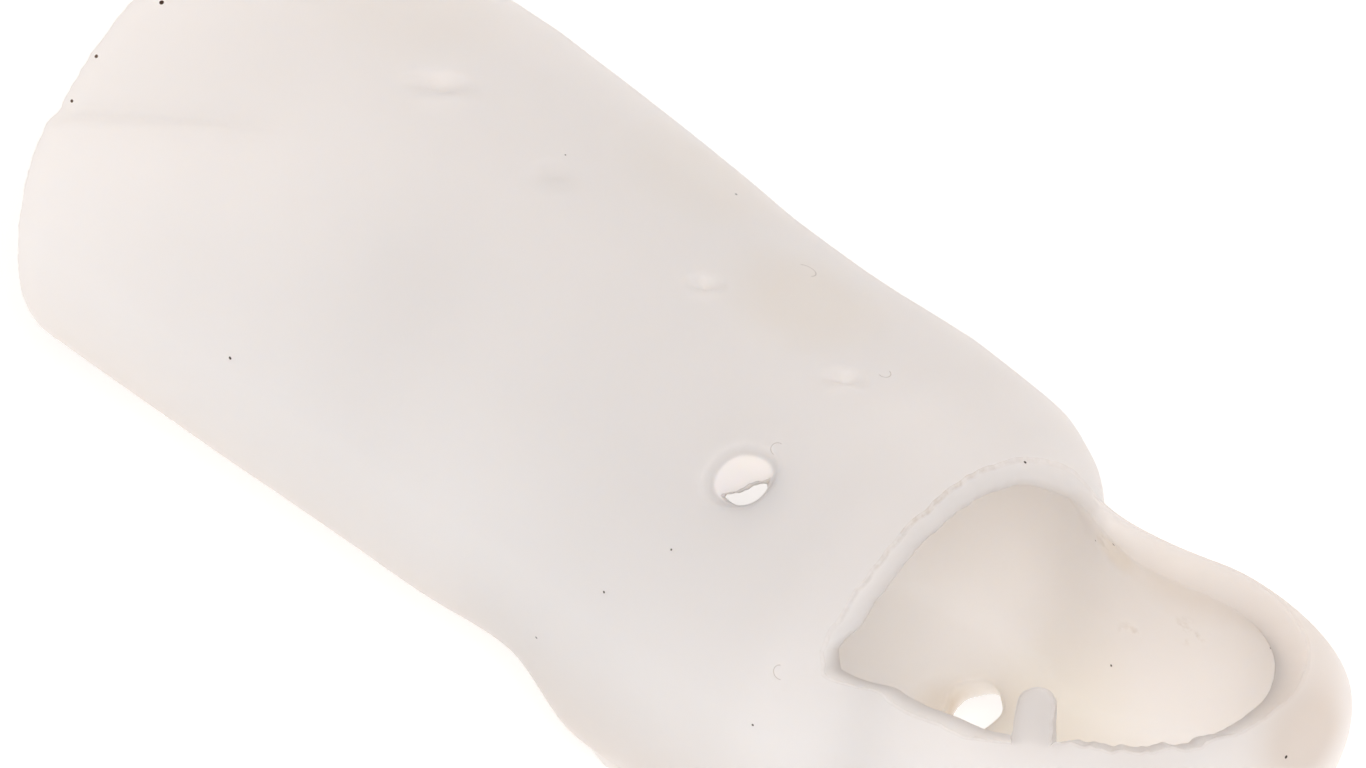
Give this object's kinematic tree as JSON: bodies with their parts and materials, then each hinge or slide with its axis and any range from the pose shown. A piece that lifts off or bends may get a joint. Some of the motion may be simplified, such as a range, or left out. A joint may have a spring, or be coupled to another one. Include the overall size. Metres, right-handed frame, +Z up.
{
  "type": "finger splint",
  "caption": "Moulded splint of one thin sheet: a closed tube round the finger that opens at the top into a tray under the fingertip, with a flat sole and a few punched holes.",
  "frame": {"origin": "under the middle of the splint's box, on the surface that it lies on", "axes": "+X along the tube towards the fingertip, +Z up, away from the sole, +Y to the side that the tip leans to"},
  "size_m": [0.0562, 0.0224, 0.0217],
  "materials": {
    "thermoplastic_sheet": "moulded, satin, slightly translucent"
  },
  "bodies": {
    "root": {"splint_shell": "thermoplastic_sheet"}
  },
  "joints": []
}
